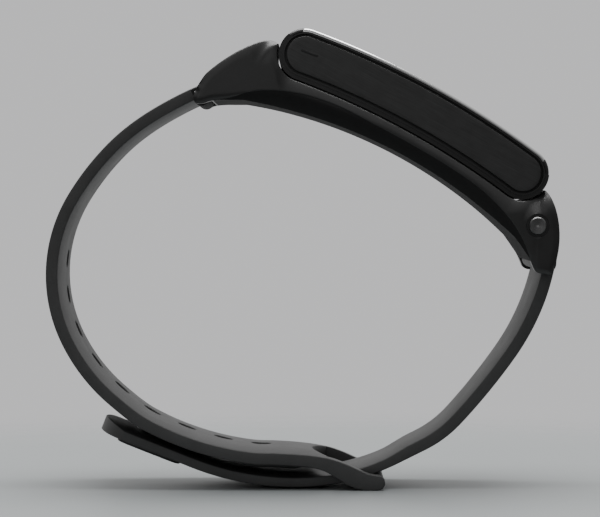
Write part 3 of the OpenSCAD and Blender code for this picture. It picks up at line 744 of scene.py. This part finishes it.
def group(name, inputs, outputs):
    """An empty node group with named number inputs, a Vector input and named outputs."""
    tree = bpy.data.node_groups.new(name, "ShaderNodeTree")
    tree.interface.new_socket("Vector", in_out="INPUT", socket_type="NodeSocketVector")
    for n in inputs:
        tree.interface.new_socket(n, in_out="INPUT", socket_type="NodeSocketFloat")
    for n in outputs:
        tree.interface.new_socket(n, in_out="OUTPUT", socket_type="NodeSocketFloat")
    return tree, tree.nodes.new("NodeGroupInput"), tree.nodes.new("NodeGroupOutput")


def node(tree, kind, **values):
    """A shader node; each value goes to the input of that name or else to the property."""
    made = tree.nodes.new("ShaderNode" + kind)
    for key, value in values.items():
        if key in made.inputs:
            made.inputs[key].default_value = value
        else:
            setattr(made, key, value)
    return made


def maths(tree, operation, a, b):
    """Output of a Math node on two numbers or sockets."""
    made = tree.nodes.new("ShaderNodeMath")
    made.operation = operation
    for socket, value in zip(made.inputs, (a, b)):
        if isinstance(value, (int, float)):
            socket.default_value = value
        else:
            tree.links.new(value, socket)
    return made.outputs[0]


def moulded_grain():
    """Fine moulded grain: small noise for the height, broad noise for the tone."""
    tree, into, out = group("moulded_grain", ["Grain", "Patch"], ["Tone", "Height"])
    fine = node(tree, "TexNoise", Detail=3.0, Roughness=0.6)
    wide = node(tree, "TexNoise", Detail=4.0, Roughness=0.55)
    for n, s in ((fine, "Grain"), (wide, "Patch")):
        tree.links.new(into.outputs["Vector"], n.inputs["Vector"])
        tree.links.new(into.outputs[s], n.inputs["Scale"])
    mixed = maths(tree, "ADD", maths(tree, "MULTIPLY", wide.outputs[0], 0.7),
                  maths(tree, "MULTIPLY", fine.outputs[0], 0.3))
    tree.links.new(mixed, out.inputs["Tone"])
    tree.links.new(fine.outputs[0], out.inputs["Height"])
    return tree


def brushed_lines():
    """Long brushing along x: noise squeezed hard across the lines, over a broad cloud."""
    tree, into, out = group("brushed_lines", ["Lines", "Patch"], ["Tone", "Height"])
    squeeze = node(tree, "Mapping")
    squeeze.inputs["Scale"].default_value = (0.02, 1, 1)
    tree.links.new(into.outputs["Vector"], squeeze.inputs["Vector"])
    fine = node(tree, "TexNoise", Detail=4.0, Roughness=0.7)
    wide = node(tree, "TexNoise", Detail=3.0)
    tree.links.new(squeeze.outputs[0], fine.inputs["Vector"])
    tree.links.new(into.outputs["Vector"], wide.inputs["Vector"])
    tree.links.new(into.outputs["Lines"], fine.inputs["Scale"])
    tree.links.new(into.outputs["Patch"], wide.inputs["Scale"])
    mixed = maths(tree, "ADD", maths(tree, "MULTIPLY", fine.outputs[0], 0.75),
                  maths(tree, "MULTIPLY", wide.outputs[0], 0.25))
    tree.links.new(mixed, out.inputs["Tone"])
    tree.links.new(fine.outputs[0], out.inputs["Height"])
    return tree


def spun_rings():
    """Turning marks: noise read along the distance from the axis, with a slow cloud."""
    tree, into, out = group("spun_rings", ["Lines", "Patch"], ["Tone", "Height"])
    cut = tree.nodes.new("ShaderNodeSeparateXYZ")
    tree.links.new(into.outputs["Vector"], cut.inputs[0])
    square = maths(tree, "ADD", maths(tree, "MULTIPLY", cut.outputs["X"], cut.outputs["X"]),
                   maths(tree, "MULTIPLY", cut.outputs["Z"], cut.outputs["Z"]))
    radius = maths(tree, "SQRT", square, 0.0)
    at = tree.nodes.new("ShaderNodeCombineXYZ")
    tree.links.new(radius, at.inputs["X"])
    fine = node(tree, "TexNoise", Detail=2.0, Roughness=0.6)
    wide = node(tree, "TexNoise", Detail=2.0)
    tree.links.new(at.outputs[0], fine.inputs["Vector"])
    tree.links.new(into.outputs["Vector"], wide.inputs["Vector"])
    tree.links.new(into.outputs["Lines"], fine.inputs["Scale"])
    tree.links.new(into.outputs["Patch"], wide.inputs["Scale"])
    mixed = maths(tree, "ADD", maths(tree, "MULTIPLY", fine.outputs[0], 0.7),
                  maths(tree, "MULTIPLY", wide.outputs[0], 0.3))
    tree.links.new(mixed, out.inputs["Tone"])
    tree.links.new(fine.outputs[0], out.inputs["Height"])
    return tree


GRAIN, BRUSHED, SPUN = moulded_grain(), brushed_lines(), spun_rings()


def finish(name, pattern, scales, dark, light, rough, bump, metallic=0.0, turn=0.0, centre=(0, 0, 0),
           **sockets):
    """A material: the pattern's tone mixes dark and light and sets the roughness within a
    range, and its height feeds a bump of the given depth in millimetres."""
    made = bpy.data.materials.new(name)
    made.use_nodes = True
    tree = made.node_tree
    shader = tree.nodes["Principled BSDF"]
    where = node(tree, "TexCoord")
    place = node(tree, "Mapping")
    moved = node(tree, "VectorMath", operation="SUBTRACT")
    moved.inputs[1].default_value = [v * MM for v in centre]
    tree.links.new(where.outputs["Object"], moved.inputs[0])
    place.inputs["Rotation"].default_value = (0, turn, 0)
    tree.links.new(moved.outputs[0], place.inputs["Vector"])
    effect = tree.nodes.new("ShaderNodeGroup")
    effect.node_tree = pattern
    tree.links.new(place.outputs[0], effect.inputs["Vector"])
    for socket, value in zip(list(effect.inputs)[1:], scales):
        socket.default_value = value
    ramp = node(tree, "MapRange")
    for key, value in (("From Min", 0.3), ("From Max", 0.7), ("To Min", 0.0), ("To Max", 1.0)):
        ramp.inputs[key].default_value = value
    tree.links.new(effect.outputs["Tone"], ramp.inputs["Value"])
    mix = node(tree, "Mix", data_type="RGBA")
    mix.inputs[6].default_value, mix.inputs[7].default_value = (*dark, 1), (*light, 1)
    tree.links.new(ramp.outputs[0], mix.inputs[0])
    tree.links.new(mix.outputs[2], shader.inputs["Base Color"])
    matt = node(tree, "MapRange")
    matt.inputs["To Min"].default_value, matt.inputs["To Max"].default_value = rough
    tree.links.new(ramp.outputs[0], matt.inputs["Value"])
    tree.links.new(matt.outputs[0], shader.inputs["Roughness"])
    relief = node(tree, "Bump", Distance=bump * MM, Strength=1.0)
    tree.links.new(effect.outputs["Height"], relief.inputs["Height"])
    tree.links.new(relief.outputs[0], shader.inputs["Normal"])
    shader.inputs["Metallic"].default_value = metallic
    for key, value in sockets.items():
        shader.inputs[key.replace("_", " ")].default_value = value
    return made


def grey(v):
    """Neutral grey of one value."""
    return (v, v, v)


strap_rubber = finish("strap_rubber", GRAIN, (7000, 260), grey(0.026), grey(0.042), (0.44, 0.56), 0.02)
# Pad rubber; also used on the left strap knuckle as painted shade.
pad_rubber = finish("pad_rubber", GRAIN, (8000, 200), grey(0.009), grey(0.014), (0.75, 0.85), 0.012,
                    Specular_IOR_Level=0.25)
tray_plastic = finish("tray_plastic", GRAIN, (9000, 220), grey(0.011), grey(0.018), (0.32, 0.4), 0.008)
capsule_plastic = finish("capsule_plastic", GRAIN, (11000, 220), grey(0.007), grey(0.010), (0.34, 0.42),
                         0.004)
plate_metal = finish("plate_metal", BRUSHED, (9000, 500), grey(0.03), grey(0.06), (0.38, 0.5), 0.006,
                     metallic=0.55, turn=-HEAD_TILT)
bezel_metal = finish("bezel_metal", BRUSHED, (5000, 150), grey(0.5), grey(0.6), (0.12, 0.18), 0.001,
                     metallic=1.0, turn=-HEAD_TILT)
lens_gloss = finish("lens_gloss", GRAIN, (1500, 60), grey(0.006), grey(0.008), (0.04, 0.07), 0.0002,
                    Coat_Weight=0.6, Coat_Roughness=0.03)
button_metal = finish("button_metal", SPUN, (14000, 900), grey(0.08), grey(0.2), (0.34, 0.42), 0.01,
                      metallic=1.0, centre=(32.842, 0, 37.176))
# Near-black finish used as painted shade: on the button bushings it stands in for the shadow ring round
# each release button, and on the near plate's dash for the shade inside its recess.
ring_plastic = finish("ring_plastic", GRAIN, (9000, 300), grey(0.002), grey(0.004), (0.6, 0.7), 0.004)
pin_steel = finish("pin_steel", SPUN, (9000, 300), grey(0.45), grey(0.6), (0.22, 0.34), 0.002, metallic=1.0)
clasp_metal = finish("clasp_metal", BRUSHED, (7000, 260), grey(0.008), grey(0.014), (0.35, 0.45), 0.004,
                     metallic=0.2, turn=radians(21.5))
board_green = finish("board_green", GRAIN, (5000, 240), (0.01, 0.07, 0.03), (0.02, 0.11, 0.05),
                     (0.3, 0.45), 0.01)
cell_foil = finish("cell_foil", GRAIN, (2500, 160), grey(0.5), grey(0.62), (0.25, 0.4), 0.02, metallic=0.9)
contact_gold = finish("contact_gold", GRAIN, (6000, 200), (0.55, 0.36, 0.12), (0.7, 0.5, 0.2), (0.18, 0.3),
                      0.002, metallic=1.0)
display_dark = finish("display_dark", GRAIN, (4000, 120), grey(0.01), grey(0.02), (0.1, 0.2), 0.001)
FINISHES = {m.name: m for m in (strap_rubber, pad_rubber, tray_plastic, capsule_plastic, plate_metal,
                                bezel_metal, lens_gloss, button_metal, ring_plastic, pin_steel,
                                clasp_metal, board_green, cell_foil, contact_gold, display_dark)}

WEARS = {
    "capsule_plastic": ("capsule_frame", "capsule_base", "tact_switch"),
    # painted shade: the bushings are made near black to stand in for the shadow ring round the release
    # buttons
    "ring_plastic": ("button_bushing_near", "button_bushing_far"),
    "pin_steel": ("lug_pin_left", "lug_pin_right", "base_screw_left", "base_screw_right",
                  "latch_hook_near", "latch_hook_far", "button_spring_near", "button_spring_far",
                  "clasp_peg_inner", "clasp_peg_outer"),
    "button_metal": ("release_button_near", "release_button_far"),
    "clasp_metal": ("clasp_plate",),
    "board_green": ("main_board",),
    "cell_foil": ("processor_shield", "battery", "vibration_motor", "microphone"),
    "contact_gold": ("contact_strip",),
    "display_dark": ("display_module",),
}
for slot, nodes in WEARS.items():
    for name in nodes:
        for material_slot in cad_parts[name].material_slots:
            material_slot.material = FINISHES[slot]


# ---- pieces ----

def stand_for(piece, slot, *nodes):
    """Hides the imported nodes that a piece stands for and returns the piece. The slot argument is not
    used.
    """
    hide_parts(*nodes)
    return piece


pin_left = head(np.array(PIN_LEFT[0]), 0.0, np.array(PIN_LEFT[1]))
pin_right = head(np.array(PIN_RIGHT[0]), 0.0, np.array(PIN_RIGHT[1]))
hole_soft = make_piece("hole_strap_soft", hole_strap_sheets()
                     + [round_bar(pin_left[0], pin_left[2], KNUCKLE_R, STRAP_W / 2, 0.3),
                        round_bar(BAR[0], BAR[1] - 0.05, 0.98, SLOT_Y + 0.4, 0.1)],
                     strap_rubber, "cradle")
stand_for(hole_soft, "strap_rubber", "hole_strap")
# Painted shade: the left knuckle gets the darker, matt pad rubber to stand in for the shadow on its
# downward face; the right knuckle keeps the strap rubber.
second_finish(hole_soft, pad_rubber,
              lambda x, y, z: np.hypot(x - pin_left[0], z - pin_left[2]) < KNUCKLE_R + 0.02)
peg_soft = make_piece("peg_strap_soft", peg_strap_sheets()
                      + [round_bar(pin_right[0], pin_right[2], KNUCKLE_R, STRAP_W / 2, 0.3)],
                      strap_rubber)
stand_for(peg_soft, "strap_rubber", "peg_strap", "strap_tail")
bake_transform(peg_soft)

sheets, keeps = cradle_sheets("tray")
stand_for(make_piece("cradle_shell", sheets, tray_plastic, "cradle", keeps=keeps),
          "tray_plastic", "cradle_tray")
sheets, keeps = cradle_sheets("pad")
stand_for(make_piece("cradle_skin_pad", sheets, pad_rubber, "cradle", keeps=keeps),
          "pad_rubber", "cradle_pad")

stand_for(make_piece("side_plate_near", [bar_piece(rounded_profile(PLATE_H / 2, -9.35, -10.0, 0.16))],
                     plate_metal, "side_key"), "plate_metal", "side_key")
stand_for(make_piece("side_plate_far", [bar_piece(rounded_profile(PLATE_H / 2, 9.0, 10.0, 0.16))],
                     plate_metal, "capsule"), "plate_metal", "side_trim_far")
bezel = stand_for(make_piece("bezel_rim", bezel_sheet(), bezel_metal, "capsule"), "bezel_metal", "bezel")
POLISHED_TO = 19.0
second_finish(bezel, capsule_plastic, lambda x, y, z: np.abs(
    (x - HEAD_X) * cos(HEAD_TILT) - (z - HEAD_Z) * sin(HEAD_TILT)) > POLISHED_TO)
stand_for(make_piece("clasp_cover", [clasp_sheet()], clasp_metal, "tail"),
          "clasp_metal", "clasp_plate")
# painted shade: a near-black bar on the near plate in place of the shade inside the recessed dash
make_piece("status_slot", [dash_shade_sheet()], ring_plastic, "side_key")
stand_for(make_piece("lens_glass", lens_sheet(), lens_gloss, "capsule"), "lens_gloss", "display_lens")


# ---- floor, light, camera ----

def floor_material():
    """Matt pale floor that thins out to nothing with distance from its middle."""
    made = bpy.data.materials.new("studio_floor")
    made.use_nodes = True
    tree = made.node_tree
    shader = tree.nodes["Principled BSDF"]
    where = node(tree, "TexCoord")
    noise = node(tree, "TexNoise", Scale=40.0, Detail=3.0)
    tree.links.new(where.outputs["Object"], noise.inputs["Vector"])
    mix = node(tree, "Mix", data_type="RGBA")
    mix.inputs[6].default_value = (0.225, 0.24, 0.243, 1)
    mix.inputs[7].default_value = (0.24, 0.255, 0.258, 1)
    tree.links.new(noise.outputs[0], mix.inputs[0])
    tree.links.new(mix.outputs[2], shader.inputs["Base Color"])
    shader.inputs["Roughness"].default_value = 0.45
    far = node(tree, "VectorMath", operation="LENGTH")
    tree.links.new(where.outputs["Object"], far.inputs[0])
    fade = node(tree, "MapRange", interpolation_type="SMOOTHERSTEP")
    for key, value in (("From Min", 0.05), ("From Max", 0.13), ("To Min", 1.0), ("To Max", 0.0)):
        fade.inputs[key].default_value = value
    tree.links.new(far.outputs["Value"], fade.inputs["Value"])
    tree.links.new(fade.outputs[0], shader.inputs["Alpha"])
    return made


def floor_disc(radius=150, drop=0.02):
    """Flat disc in rings about the origin, a hair below the band."""
    a = np.linspace(0, 2 * pi, 97)
    r = np.linspace(0, radius, 12)[:, None]
    return np.stack([r * np.cos(a), r * np.sin(a), 0 * r * a - drop], -1)


floor = make_piece("studio_floor", [floor_disc()], floor_material())


def studio_air():
    """Plain grey to look at. As light it is the sum of two smooth steps, one rising from front
    to back and one from the horizon up."""
    world = bpy.data.worlds.new("studio_air")
    bpy.context.scene.world = world
    world.use_nodes = True
    tree = world.node_tree
    seen = tree.nodes["Background"]
    seen.inputs["Color"].default_value = (0.66, 0.66, 0.668, 1)
    cut = tree.nodes.new("ShaderNodeSeparateXYZ")
    tree.links.new(node(tree, "TexCoord").outputs["Generated"], cut.inputs[0])
    parts = []
    for axis, start, stop, least, most in (("Z", 0.0, 0.9, 0.0, 0.6), ("Y", -0.3, 0.7, 0.12, 0.62)):
        part = node(tree, "MapRange", interpolation_type="SMOOTHSTEP")
        for key, value in (("From Min", start), ("From Max", stop), ("To Min", least), ("To Max", most)):
            part.inputs[key].default_value = value
        tree.links.new(cut.outputs[axis], part.inputs["Value"])
        parts.append(part.outputs[0])
    cast = node(tree, "Background")
    tree.links.new(maths(tree, "ADD", *parts), cast.inputs["Strength"])
    cast.inputs["Color"].default_value = (1, 1, 1, 1)
    pick = node(tree, "MixShader")
    tree.links.new(node(tree, "LightPath").outputs["Is Camera Ray"], pick.inputs[0])
    tree.links.new(cast.outputs[0], pick.inputs[1])
    tree.links.new(seen.outputs[0], pick.inputs[2])
    tree.links.new(pick.outputs[0], tree.nodes["World Output"].inputs["Surface"])


studio_air()


def softbox(name, place, toward, size, power):
    """Rectangular light at a place in metres, turned toward a point."""
    light = bpy.data.lights.new(name, "AREA")
    light.shape, light.size, light.size_y, light.energy = "RECTANGLE", size[0], size[1], power
    lamp = bpy.data.objects.new(name, light)
    lamp.location = place
    lamp.rotation_euler = (Vector(toward) - Vector(place)).to_track_quat("-Z", "Y").to_euler()
    bpy.context.scene.collection.objects.link(lamp)


softbox("overhead_box", (0.0, 0.02, 0.36), (0, 0, 0.02), (0.3, 0.22), 2.2)
softbox("front_card", (-0.12, -0.42, 0.12), (0, 0, 0.03), (0.3, 0.2), 0.12)

lens = bpy.data.cameras.new("side_view")
lens.sensor_width, lens.lens = 36.0, 147.2
lens.clip_start, lens.clip_end = 0.01, 5.0
camera = bpy.data.objects.new("side_view", lens)
camera.location = (0.00112, -0.3512, 0.04159)
LEFT, DOWN = tan(radians(0.216)), tan(radians(1.512))
camera.rotation_euler = Vector((-LEFT, 1, -DOWN)).to_track_quat("-Z", "Y").to_euler()
bpy.context.scene.collection.objects.link(camera)
bpy.context.scene.camera = camera
